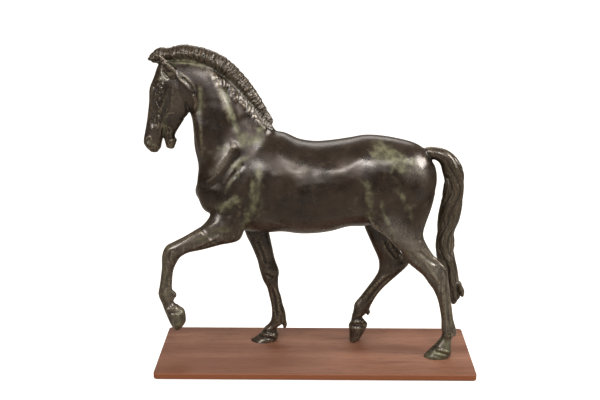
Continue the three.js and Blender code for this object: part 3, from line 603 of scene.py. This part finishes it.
def mane_places(verts):
    """How far each point lies along the crest in mm, and how far up it is from the mane's root (0) to
    its crest (1)."""
    rows = curve(MANE, 20)
    root, crest = rows[:, 2:4], rows[:, 0:2]
    step = np.hypot(*np.diff(crest, axis=0).T)
    length = np.concatenate([[0], np.cumsum(step)])
    best = np.full(len(verts), np.inf)
    along, up = np.zeros(len(verts)), np.full(len(verts), -9.0)
    for k in range(len(rows)):
        rise = crest[k] - root[k]
        tall = np.linalg.norm(rise)
        rise = rise / tall
        dx, dz = verts[:, 0] - root[k, 0], verts[:, 2] - root[k, 1]
        height = (dx * rise[0] + dz * rise[1]) / tall
        off = np.abs(dx * rise[1] - dz * rise[0]) + 40 * np.maximum(0, np.abs(height - 0.5) - 1.2)
        closer = off < best
        best[closer] = off[closer]
        along[closer] = length[k]
        up[closer] = height[closer]
    up[best > 4] = -9
    return along, up


def comb_mane(amount, verts, shade, rng):
    """Short uneven locks across the crest, and smooth wisps that end on the neck."""
    along, up = mane_places(verts)
    for side in (-1, 1):
        here = np.flatnonzero((up > -0.9) & ((verts[:, 1] - MID) * side > -1.5))
        s, t = along[here], up[here]
        band = ramp(t, 0.12, 0.24)
        relief = -1.5 * band * (1 - 0.75 * ramp(t, 0.25, 0.55)) * ramp(215 - s, 0, 18)
        for first, last, spacing, half, low, high, lean, tall in MANE_ROWS:
            row = np.zeros(len(here))
            for middle in np.arange(first, last, spacing):
                jog, wide, long_, bow, high_jog = rng.uniform(-1, 1, 5)
                top, foot = high + 0.12 * high_jog, low + 0.08 * long_
                rise = np.clip((t - foot) / (top - foot), 0, 1)
                centre = (middle + 0.3 * spacing * jog + (lean + 2.2 * bow) * (rise - 0.5)
                          + 0.7 * bow * np.sin(rise * 4 + middle))
                across = (s - centre) / (half * (1 + 0.25 * wide))
                ends = ramp(t, foot, foot + 0.22) * ramp(top - t, 0, 0.15)
                lock = tall * (1 + 0.45 * jog) * np.clip(1 - across**2, 0, 1) ** 0.7 * ends
                row = np.maximum(row, lock)
            relief += row
        amount[here] += relief * ramp(np.abs(shade[here, 1]), 0.02, 0.4)


def tail_places(verts):
    """How far each point lies along the tail in mm, its angle round it, and whether it is in the tail."""
    rows = curve(TAIL, 10)
    middle = (rows[:, 0:2] + rows[:, 2:4]) / 2
    across = (rows[:, 0:2] - rows[:, 2:4]) / 2
    length = np.concatenate([[0], np.cumsum(np.hypot(*np.diff(middle, axis=0).T))])
    best = np.full(len(verts), np.inf)
    along, angle, inside = np.zeros(len(verts)), np.zeros(len(verts)), np.zeros(len(verts), bool)
    for k in range(len(rows)):
        dx, dz = verts[:, 0] - middle[k, 0], verts[:, 2] - middle[k, 1]
        reach = np.linalg.norm(across[k])
        away = np.hypot(dx, dz)
        closer = away < best
        best[closer] = away[closer]
        along[closer] = length[k]
        out = (dx * across[k, 0] + dz * across[k, 1]) / reach
        angle[closer] = np.arctan2(verts[:, 1] - rows[k, 4], out)[closer]
        inside[closer] = (away < reach + 3)[closer]
    return along, angle, inside & (np.abs(verts[:, 1] - 12) < 16)


def comb_tail(amount, verts):
    """Strands along the tail, gathered into a few wavy locks, from the end of the dock down."""
    along, angle, inside = tail_places(verts)
    here = np.flatnonzero(inside & (along > 15))
    s, a = along[here], angle[here]
    wave = 0.42 * np.sin(s / 17) + 0.22 * np.sin(s / 7.3 + 1) + 0.006 * s
    locks = (a + wave) / (2 * np.pi) * TAIL_LOCKS
    strands = (a + wave + 0.16 * np.sin(s / 5.1 + 3 * a)) / (2 * np.pi) * TAIL_STRANDS
    amount[here] += ramp(s, 22, 52) * (2.2 * lock_shape(locks) + 1.1 * lock_shape(strands))


def haired(verts):
    """1 on the mane and the tail, and 0 elsewhere."""
    along, up = mane_places(verts)
    mane = ramp(up, 0.1, 0.25) * (np.abs(verts[:, 1] - MID) < 14) * ramp(along, -2, 2)
    along, _, inside = tail_places(verts)
    return np.maximum(mane, inside * ramp(along, 25, 50))


def work_skin(verts, faces):
    """The strokes, swellings, mane and tail."""
    rng = np.random.default_rng(7)
    shade = normals(verts, faces)
    for _ in range(4):
        shade = neighbour_mean(shade, faces)
    shade /= np.linalg.norm(shade, axis=1)[:, None]
    amount = np.zeros(len(verts))
    for side, own in ((-1, NEAR_STROKES), (1, OFF_STROKES)):
        weight = facing(verts, shade, side)
        for width, height, *points in BODY_STROKES:
            stroke(amount, verts, weight, width, height, points)
        for row in KNOBS:
            knob(amount, verts, weight, *row)
        for count, spread, size, height, *points in PITTED:
            pit(amount, verts, weight, rng, count, spread, size, height, points)
        weight = facing(verts, shade, side, both_faces=True)
        for width, height, *points in own:
            stroke(amount, verts, weight, width, height, points)
    comb_mane(amount, verts, shade, rng)
    comb_tail(amount, verts)
    verts = verts + shade * amount[:, None]
    # The trunk is evened out more than the head, the hair and the legs.
    body = (1 - haired(verts)) * ramp(verts[:, 0], -148, -136) * ramp(verts[:, 2], 150, 180)
    for _ in range(14):
        verts = verts + 0.5 * np.maximum(body, 0.03)[:, None] * (neighbour_mean(verts, faces) - verts)
    # The soles are flat on the plate.
    verts[:, 2] = np.where(verts[:, 2] < 20, np.maximum(verts[:, 2], PLATE_TOP + SOLE_GAP), verts[:, 2])
    return verts


def hollowness(verts, faces, rounds):
    """How deep each point lies in a hollow, in mm, against the same skin smoothed by rounds."""
    even = verts
    for _ in range(rounds):
        even = neighbour_mean(even, faces)
    return ((even - verts) * normals(even, faces)).sum(1)


def marked(verts, shade, table):
    """How strongly the lines of a table mark each point, from 0 to about 1."""
    amount = np.zeros(len(verts))
    for side in (-1, 1):
        weight = facing(verts, shade, side)
        for width, much, *points in table:
            inside, gap, _ = near_line(verts, points, 2.5 * width)
            spot = much * np.exp(-(gap / width) ** 2) * weight[inside]
            amount[inside] = np.maximum(amount[inside], spot)
    return amount


# ---- castings

# Where the castings part: a point on the cut, and the direction from the barrel into the casting.
CUTS = {
    "neck_and_head_casting": ((-97, MID, 270.5), (-0.49, 0, 0.872)),
    "near_foreleg_casting": ((-119, -16, 169), (-0.912, 0, -0.41)),
    "off_foreleg_casting": ((-73, 34, 158), (0, 0, -1)),
    "near_hindleg_casting": ((111, -17, 158), (0, 0, -1)),
    "off_hindleg_casting": ((88, 37, 158), (0, 0, -1)),
    "tail_casting": ((139, 12, 261), (0.97, 0, 0.24)),
}


def casting_of(centres):
    """The casting that each face belongs to, from the face's centre: 0 is the barrel."""
    x, y, z = centres.T
    past = [((centres - np.array(at)) @ np.array(into)) > 0 for at, into in CUTS.values()]
    owner = np.zeros(len(centres), int)
    owner[past[0] & (z > 238)] = 1
    owner[past[1] & (z < 190) & (y < MID) & (x < -80)] = 2
    owner[(x < -84) & (z < 158) & (y < MID)] = 2
    owner[past[2] & (x < 0) & (y > MID)] = 3
    owner[past[3] & (x > 30) & (y < MID) & (x < 145 + 0.2 * np.maximum(0, 158 - z))] = 4
    owner[past[4] & (x > 30) & (y > MID + 8)] = 5
    tail = past[5] & (z > 250)
    owner[tail | ((x > 139) & (np.abs(y - 12) < 15) & (z > 60) & in_tail(x, z))] = 6
    return owner


def in_tail(x, z):
    """Whether a point of the side view lies within the tail's outline."""
    rows = curve(TAIL, 6)
    middle = (rows[:, [0, 1]] + rows[:, [2, 3]]) / 2
    reach = np.hypot(rows[:, 0] - rows[:, 2], rows[:, 1] - rows[:, 3]) / 2
    out = np.zeros(len(x), bool)
    for (cx, cz), r in zip(middle[8:], reach[8:]):
        out |= np.hypot(x - cx, z - cz) < r + 3
    return out


def cap_loops(faces):
    """The closed loops of edges that only one face uses, each as a list of point numbers."""
    edges = np.concatenate([np.stack([faces[:, k], faces[:, (k + 1) % 4]], 1) for k in range(4)])
    directed = set(map(tuple, edges.tolist()))
    follow = {b: a for a, b in directed if (b, a) not in directed}
    loops = []
    while follow:
        start, here = follow.popitem()
        loop = [start]
        while here != start:
            loop.append(here)
            here = follow.pop(here)
        loops.append(loop)
    return loops


def make_piece(name, verts, faces, attributes, shade_normals, material):
    """One casting as an object: its part of the skin, closed with a fan over each cut."""
    used, inverse = np.unique(faces, return_inverse=True)
    faces = inverse.reshape(faces.shape)
    points, shade = verts[used] / 1000 + MIDDLE, shade_normals[used]
    polygons = faces.tolist()
    for loop in cap_loops(faces):
        polygons += [[a, b, len(points)] for a, b in zip(loop, loop[1:] + loop[:1])]
        points = np.vstack([points, points[loop].mean(0)])
        shade = np.vstack([shade, (0, 0, 1)])
    mesh = bpy.data.meshes.new(name)
    mesh.from_pydata(points.tolist(), [], polygons)
    mesh.polygons.foreach_set("use_smooth", np.ones(len(polygons), bool))
    for key, value in attributes.items():
        padded = np.zeros(len(points), np.float32)
        padded[:len(used)] = value[used]
        mesh.attributes.new(key, "FLOAT", "POINT").data.foreach_set("value", padded)
    mesh.materials.append(material)
    piece = link(name, mesh)
    mesh.normals_split_custom_set_from_vertices(shade.tolist())
    return piece


# ---- materials

class Nodes:
    """The nodes of a material or a world. A number or colour is set on a socket, and a socket is linked
    to it."""

    def __init__(self, owner, shader="Principled BSDF"):
        owner.use_nodes = True
        self.owner, self.tree = owner, owner.node_tree
        self.shader = self.tree.nodes[shader]
        self.coordinates = self.add("TexCoord")
        self.place = self.coordinates.outputs["Object"]

    def add(self, kind, settings=None, **inputs):
        node = self.tree.nodes.new("ShaderNode" + kind)
        for key, value in (settings or {}).items():
            setattr(node, key, value)
        for key, value in inputs.items():
            self.feed(node.inputs[key.replace("_", " ")], value)
        return node

    def feed(self, socket, value):
        if isinstance(value, bpy.types.NodeSocket):
            self.tree.links.new(value, socket)
        else:
            socket.default_value = value

    def noise(self, scale, detail=3.0, rough=0.5, stretch=(1, 1, 1), shift=(0, 0, 0)):
        """Cloudy values round 0.5. scale is in spots to a metre."""
        mapped = self.add("Mapping", Vector=self.place, Scale=stretch, Location=shift)
        out = self.add("TexNoise", Vector=mapped.outputs[0], Scale=scale, Detail=detail, Roughness=rough)
        return out.outputs["Fac"]

    def attribute(self, name):
        return self.add("Attribute", {"attribute_name": name}).outputs["Fac"]

    def math(self, operation, a, b=0.0, clamp=False):
        node = self.add("Math", {"operation": operation, "use_clamp": clamp})
        self.feed(node.inputs[0], a)
        self.feed(node.inputs[1], b)
        return node.outputs[0]

    def times(self, a, b):
        return self.math("MULTIPLY", a, b)

    def plus(self, a, b, clamp=False):
        return self.math("ADD", a, b, clamp)

    def span(self, value, low, high, to_low=0.0, to_high=1.0, kind="SMOOTHSTEP"):
        """Turns low to high into to_low to to_high, and holds the ends."""
        return self.add("MapRange", {"interpolation_type": kind}, Value=value, From_Min=low, From_Max=high,
                        To_Min=to_low, To_Max=to_high).outputs["Result"]

    def mix(self, factor, a, b):
        """Colour a where the factor is 0 and b where it is 1."""
        node = self.add("Mix", {"data_type": "RGBA"})
        self.feed(node.inputs["Factor"], factor)
        self.feed(node.inputs[6], a)
        self.feed(node.inputs[7], b)
        return node.outputs[2]

    def bump(self, height, distance, strength=1.0, under=None):
        node = self.add("Bump", Height=height, Distance=distance, Strength=strength)
        if under is not None:
            self.feed(node.inputs["Normal"], under)
        return node.outputs["Normal"]

    def finish(self, **inputs):
        for key, value in inputs.items():
            self.feed(self.shader.inputs[key.replace("_", " ")], value)
        return self.owner


def bronze_material():
    """Dark brown waxed patina, worn a little on the high places, with verdigris in the hollows, painted shade
    deep in the hollows and painted highlights on the marked lines.
    """
    n = Nodes(bpy.data.materials.new("patinated_bronze"))
    hollow, broad, green = n.attribute("hollow"), n.attribute("broad"), n.attribute("green")
    hair = n.attribute("hair")
    clouds = n.noise(38, 4, 0.6)
    grain = n.noise(420, 4, 0.65)
    mottle = n.noise(120, 5, 0.62, shift=(0.3, 0.1, 0.7))
    streaks = n.noise(150, 4, 0.6, stretch=(1.0, 1.0, 0.35), shift=(0.7, 0.2, 0.4))

    brown = n.mix(n.span(clouds, 0.35, 0.68), (0.0115, 0.0066, 0.0040, 1), (0.029, 0.0175, 0.0110, 1))
    brown = n.mix(n.span(mottle, 0.52, 0.8, 0, 0.5), brown, (0.062, 0.041, 0.026, 1))
    brown = n.mix(n.times(hair, 0.6), brown, (0.036, 0.025, 0.012, 1))
    # The lower legs are paler and show fine upright streaks, much more so on the near side than the off side.
    spot = n.add("SeparateXYZ", Vector=n.place)
    legs = n.span(spot.outputs["Z"], 0.20, 0.14)
    combed = n.noise(330, 3, 0.6, stretch=(1.0, 1.0, 0.14), shift=(0.4, 0.9, 0.2))
    legs = n.times(legs, n.span(spot.outputs["Y"], 0.020, 0.002, 0.25, 1.0))
    paler_lower_legs = n.times(legs, n.span(clouds, 0.3, 0.62, 0.05, 0.32))
    brown = n.mix(paler_lower_legs, brown, (0.080, 0.066, 0.046, 1))
    brown = n.mix(n.times(legs, n.span(combed, 0.50, 0.70, 0, 0.7)), brown, (0.165, 0.145, 0.110, 1))
    # Ridges are worn paler, and hollows get a painted shade, darker the deeper they are.
    worn = n.times(n.span(hollow, -0.03, -0.26), n.span(grain, 0.36, 0.62))
    worn = n.times(worn, n.span(hair, 0.0, 1.0, 0.7, 0.28))
    brown = n.mix(worn, brown, (0.165, 0.134, 0.086, 1))
    deep = n.span(hollow, 0.04, 0.30)
    brown = n.mix(n.times(deep, 0.7), brown, (0.007, 0.0052, 0.004, 1))

    # Verdigris covers the marked places and wide hollows, broken up by noise.
    gathered = n.plus(n.times(green, 0.85), n.times(n.span(broad, 0.1, 0.9), 0.35))
    broken = n.plus(n.times(mottle, 0.7), n.times(streaks, 0.9))
    cover = n.span(n.plus(gathered, broken), 0.95, 1.75)
    olive = n.mix(n.span(mottle, 0.35, 0.65), (0.044, 0.042, 0.021, 1), (0.130, 0.127, 0.070, 1))
    colour = n.mix(n.times(cover, 0.85), brown, olive)
    # Worn edges and painted highlights: a pale grey-tan laid over the marked lines, broken by the grain.
    rubbed_and_painted_light = n.times(n.attribute("rubbed_and_painted_light"), n.span(grain, 0.25, 0.6, 0.35, 1.0))
    colour = n.mix(rubbed_and_painted_light, colour, (0.270, 0.245, 0.210, 1))

    rough = n.plus(n.span(clouds, 0.3, 0.7, 0.24, 0.34), n.times(cover, 0.22))
    rough = n.plus(rough, n.times(hair, 0.07))
    rough = n.plus(rough, n.span(grain, 0.3, 0.7, -0.02, 0.04), clamp=True)
    skin = n.bump(n.noise(70, 2, 0.45, shift=(0.2, 0.6, 0.1)), 0.0012, 0.4)
    skin = n.bump(grain, 0.0002, 0.35, skin)
    return n.finish(Base_Color=colour, Roughness=rough, Normal=skin, Metallic=0.45, Specular_IOR_Level=0.62,
                    Coat_Weight=0.18, Coat_Roughness=0.24)


def wood_material():
    """Satin mahogany: fine dark streaks along the board and short open pores, with a painted shade that
    darkens it towards the front edge.
    """
    n = Nodes(bpy.data.materials.new("mahogany"))
    bands = n.noise(30, 3, 0.55, stretch=(0.10, 1.0, 1.0))
    figure = n.noise(9, 4, 0.6, stretch=(0.5, 1.6, 1.0), shift=(0.2, 0.5, 0))
    fine = n.noise(420, 3, 0.6, stretch=(0.035, 1.0, 1.0), shift=(0.1, 0, 0.3))
    pores = n.noise(900, 2, 0.5, stretch=(0.06, 1.0, 1.0), shift=(0.6, 0.3, 0))
    colour = n.mix(n.span(bands, 0.35, 0.68), (0.137, 0.053, 0.029, 1), (0.224, 0.107, 0.066, 1))
    colour = n.mix(n.span(figure, 0.42, 0.75, 0, 0.55), colour, (0.095, 0.036, 0.020, 1))
    colour = n.mix(n.span(fine, 0.48, 0.72, 0, 0.75), colour, (0.085, 0.026, 0.016, 1))
    colour = n.mix(n.span(pores, 0.60, 0.72, 0, 0.55), colour, (0.045, 0.015, 0.010, 1))
    # Painted shade: the board darkens towards its front edge.
    front = n.span(n.add("SeparateXYZ", Vector=n.place).outputs["Y"], 0.0, -0.075, 0, 0.45)
    colour = n.mix(front, colour, (0.115, 0.040, 0.018, 1))
    upright = n.add("NewGeometry").outputs["Normal"]
    split = n.add("SeparateXYZ", Vector=upright)
    side = n.span(n.math("ABSOLUTE", split.outputs["Z"], 0), 0.7, 0.3)
    colour = n.mix(side, colour, (0.175, 0.055, 0.020, 1))
    rough = n.plus(n.span(figure, 0.3, 0.7, 0.38, 0.50), n.span(pores, 0.6, 0.72, 0.0, 0.2))
    surface = n.bump(n.math("SUBTRACT", fine, n.span(pores, 0.6, 0.72)), 0.00012, 0.7)
    return n.finish(Base_Color=colour, Roughness=rough, Normal=surface, Specular_IOR_Level=0.4,
                    Coat_Weight=0.06, Coat_Roughness=0.35)


def plain_material(name, noise, low, high, span, rough, depth, metallic=1.0):
    """One noise turns the colour from low to high and the roughness through its range, and raises a grain."""
    n = Nodes(bpy.data.materials.new(name))
    grain = n.noise(*noise)
    colour = n.mix(n.span(grain, *span), low, high)
    return n.finish(Base_Color=colour, Roughness=n.span(grain, 0.3, 0.7, *rough), Metallic=metallic,
                    Normal=n.bump(grain, *depth))


# ---- the studio

FLOOR_PAINT = (0.30, 0.275, 0.245, 1)
FLOOR_GLOW = 1.0              # seen from the camera alone, so that the floor is as white as the surround
FLOOR_REACH = 4.0
ROOM_LOW, ROOM_HIGH = 0.08, 0.55        # brightness at the horizon and overhead
ROOM_TINT = (1.0, 0.83, 0.66, 1)
BACKDROP = 1.05                         # brightness of the surround as the camera sees it
LAMP_COLOUR = (1.0, 0.98, 0.96)
LAMP_TARGET = (0, 0, 0.2)
SOFTBOXES = [                           # name, place, width, height, watts
    ("overhead", (0.0, 0.90, 1.15), 1.2, 0.5, 6),
    ("front_top", (-0.05, -1.05, 1.15), 0.14, 0.32, 2.8),
    ("front_right", (0.30, -1.06, 1.04), 0.24, 0.26, 7),
    ("front", (0.0, -1.45, 0.95), 1.3, 0.8, 5),
    ("right", (1.00, -0.25, 0.84), 0.45, 0.45, 15),
    ("left", (-0.85, -0.95, 0.85), 0.45, 0.45, 11),
]


def studio():
    """A pale floor in a white surround, and soft lights above the horse."""
    far = FLOOR_REACH
    floor = bpy.data.meshes.new("floor")
    floor.from_pydata([(-far, -far, 0), (far, -far, 0), (far, far, 0), (-far, far, 0)], [], [(0, 1, 2, 3)])
    n = Nodes(bpy.data.materials.new("pale_floor"))
    seen = n.add("LightPath").outputs["Is Camera Ray"]
    floor.materials.append(n.finish(Base_Color=FLOOR_PAINT, Roughness=0.9, Emission_Color=(1, 1, 1, 1),
                                    Emission_Strength=n.times(seen, FLOOR_GLOW)))
    floor_object = link("floor", floor)

    # The surround is white to the eye. To the statuette it is a dim room, lighter overhead.
    world = bpy.data.worlds.new("studio")
    bpy.context.scene.world = world
    n = Nodes(world, "Background")
    up = n.add("SeparateXYZ", Vector=n.coordinates.outputs["Generated"]).outputs["Z"]
    seen = n.add("LightPath").outputs["Is Camera Ray"]
    strength = n.add("Mix", Factor=seen)
    n.feed(strength.inputs[2], n.span(up, 0.0, 0.9, ROOM_LOW, ROOM_HIGH, "LINEAR"))
    n.feed(strength.inputs[3], BACKDROP)
    n.finish(Strength=strength.outputs[0], Color=n.mix(seen, ROOM_TINT, (1, 1, 1, 1)))

    for name, at, size_x, size_y, power in SOFTBOXES:
        light = bpy.data.lights.new(name, "AREA")
        light.shape = "RECTANGLE"
        light.size, light.size_y = size_x, size_y
        light.energy = power
        light.color = LAMP_COLOUR
        link(name, light, at, (Vector(LAMP_TARGET) - Vector(at)).to_track_quat("-Z", "Y"))
    bpy.context.scene.view_settings.view_transform = "Standard"


SENSOR_WIDTH, FOCAL_LENGTH, CLIP_END = 36, 61.44, 50
CAMERA_PLACE = (0.003153, -1.186871, 0.535101)      # from the middle of the bounding box
CAMERA_TURN = np.radians([-1.031, 15.512, -0.104])  # yaw, pitch downwards, roll


def camera():
    """A short telephoto view from the horse's near side, looking down 15.5 degrees."""
    data = bpy.data.cameras.new("camera")
    data.sensor_width, data.lens, data.clip_end = SENSOR_WIDTH, FOCAL_LENGTH, CLIP_END
    view = link("camera", data)
    yaw, pitch, roll = CAMERA_TURN
    forward = Vector((math.sin(yaw) * math.cos(pitch), math.cos(yaw) * math.cos(pitch), -math.sin(pitch)))
    right = Vector((math.cos(yaw), -math.sin(yaw), 0))
    up = right.cross(forward)
    right, up = (right * math.cos(roll) + up * math.sin(roll), up * math.cos(roll) - right * math.sin(roll))
    turn = Matrix((right, up, -forward)).transposed().to_4x4()
    view.matrix_world = Matrix.Translation(Vector(CAMERA_PLACE) + Vector(MIDDLE)) @ turn
    bpy.context.scene.camera = view


# ---- the statuette

camera()
studio()

skin, skin_faces = model_horse()
skin = work_skin(skin, skin_faces)
shade_normals = normals(skin, skin_faces)
surface = {
    "hollow": hollowness(skin, skin_faces, 10),
    "broad": hollowness(skin, skin_faces, 40),
    "green": marked(skin, shade_normals, VERDIGRIS),
    # Where the edges are worn and where highlights and light are painted.
    "rubbed_and_painted_light": marked(skin, shade_normals, RUBBED_AND_PAINTED_LIGHT),
    "hair": haired(skin),
}
owner = casting_of(skin[skin_faces].mean(1))
bronze = bronze_material()
for number, name in enumerate(["barrel_casting", *CUTS]):
    piece = make_piece(name + "_skin", skin, skin_faces[owner == number], surface, shade_normals, bronze)
    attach(piece, "root")
    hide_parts(name)

FINISHES = {
    "mahogany": wood_material(),
    # clean cast bronze, brushed round the pin
    "bronze_pin": plain_material(
        "clean_bronze", (900, 2, 0.5, (0.2, 0.2, 1.0)),
        (0.45, 0.27, 0.13, 1), (0.60, 0.38, 0.19, 1), (0.3, 0.7), (0.28, 0.42), (0.00005, 0.6)),
    # zinc plate, a bluish grey with a faint spangle
    "zinced_steel": plain_material(
        "zinc_plate", (500, 2, 0.5),
        (0.50, 0.52, 0.55, 1), (0.66, 0.68, 0.70, 1), (0.35, 0.65), (0.24, 0.38), (0.00004, 0.5)),
    # dull black rubber with a fine moulded grain
    "bumper_rubber": plain_material(
        "bumper_rubber", (1500, 3, 0.6),
        (0.012, 0.012, 0.012, 1), (0.030, 0.029, 0.028, 1), (0.3, 0.7), (0.62, 0.8), (0.00008, 0.8), 0.0),
}
for part in frame["record"]["subparts"]:
    if part["node"] not in ("barrel_casting", *CUTS):
        node = frame["nodes"][part["node"]]
        node.data.materials.clear()
        node.data.materials.append(FINISHES[part["material_slot"]])
